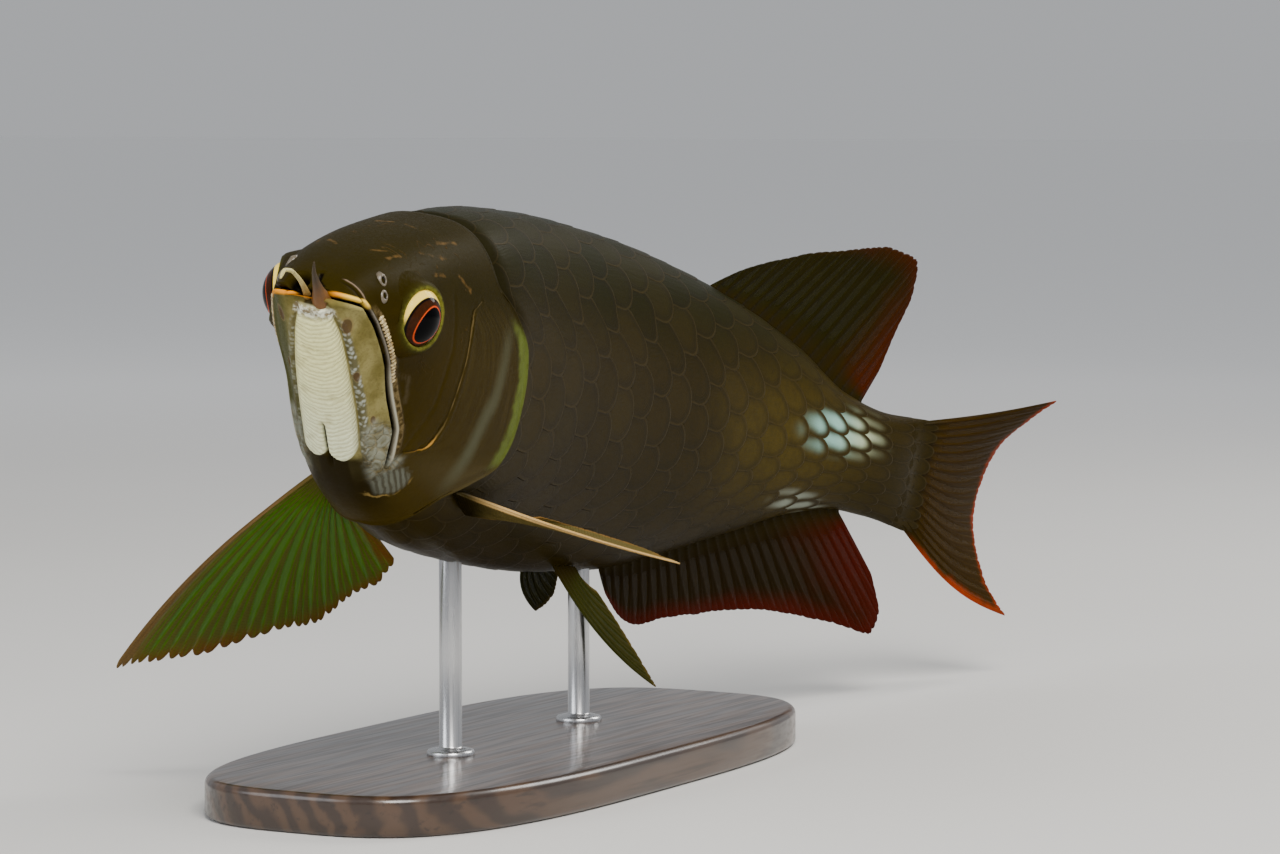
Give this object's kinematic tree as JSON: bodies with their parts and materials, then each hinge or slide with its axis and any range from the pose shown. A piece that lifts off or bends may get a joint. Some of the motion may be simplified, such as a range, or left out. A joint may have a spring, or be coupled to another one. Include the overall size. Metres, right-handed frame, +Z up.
{
  "type": "asian arowana",
  "caption": "Life-size asian arowana, deep scaled body bent to its left, long side fins spread, barbels forward, held above a flat oval base by short rods.",
  "frame": {"origin": "middle of the whole object's box in plan, on the underside of the stand's base", "axes": "+X along the fish towards its snout, +Y to its left, +Z up"},
  "size_m": [0.6026, 0.1888, 0.2086],
  "materials": {
    "head_skin": "olive bronze skin, satin",
    "jaw_skin": "olive skin with a cream throat, satin",
    "eye_left": "wet gloss, dark red iris and black pupil",
    "eye_right": "wet gloss, dark red iris and black pupil",
    "gill_cover_left": "pearly olive and lime",
    "gill_cover_right": "pearly olive and lime",
    "barbel_left": "soft cream and orange brown",
    "barbel_right": "soft cream and orange brown",
    "shoulder_scales": "large bronze scales, satin sheen",
    "flank_scales": "large bronze scales, satin sheen",
    "tail_scales": "large bronze scales with pearly centres",
    "dorsal_fin": "brown membrane, red margin",
    "anal_fin": "brown membrane, red margin",
    "caudal_fin": "brown membrane, red margin",
    "pectoral_fin_left": "olive brown membrane, red margin",
    "pectoral_fin_right": "olive brown membrane, red margin",
    "pelvic_fin_left": "olive brown membrane, red margin",
    "pelvic_fin_right": "olive brown membrane, red margin",
    "base_wood": "dark stained wood, satin varnish",
    "stand_rod_front": "brushed",
    "stand_rod_rear": "brushed"
  },
  "bodies": {
    "root": {"head": "head_skin", "lower_jaw": "jaw_skin", "eye_left": "eye_left", "eye_right": "eye_right", "gill_cover_left": "gill_cover_left", "gill_cover_right": "gill_cover_right", "barbel_left": "barbel_left", "barbel_right": "barbel_right", "torso_front": "shoulder_scales", "torso_rear": "flank_scales", "tail": "tail_scales", "dorsal_fin": "dorsal_fin", "anal_fin": "anal_fin", "caudal_fin": "caudal_fin", "pectoral_fin_left": "pectoral_fin_left", "pectoral_fin_right": "pectoral_fin_right", "pelvic_fin_left": "pelvic_fin_left", "pelvic_fin_right": "pelvic_fin_right", "stand_base": "base_wood", "stand_rod_front": "stand_rod_front", "stand_rod_rear": "stand_rod_rear"}
  },
  "joints": []
}
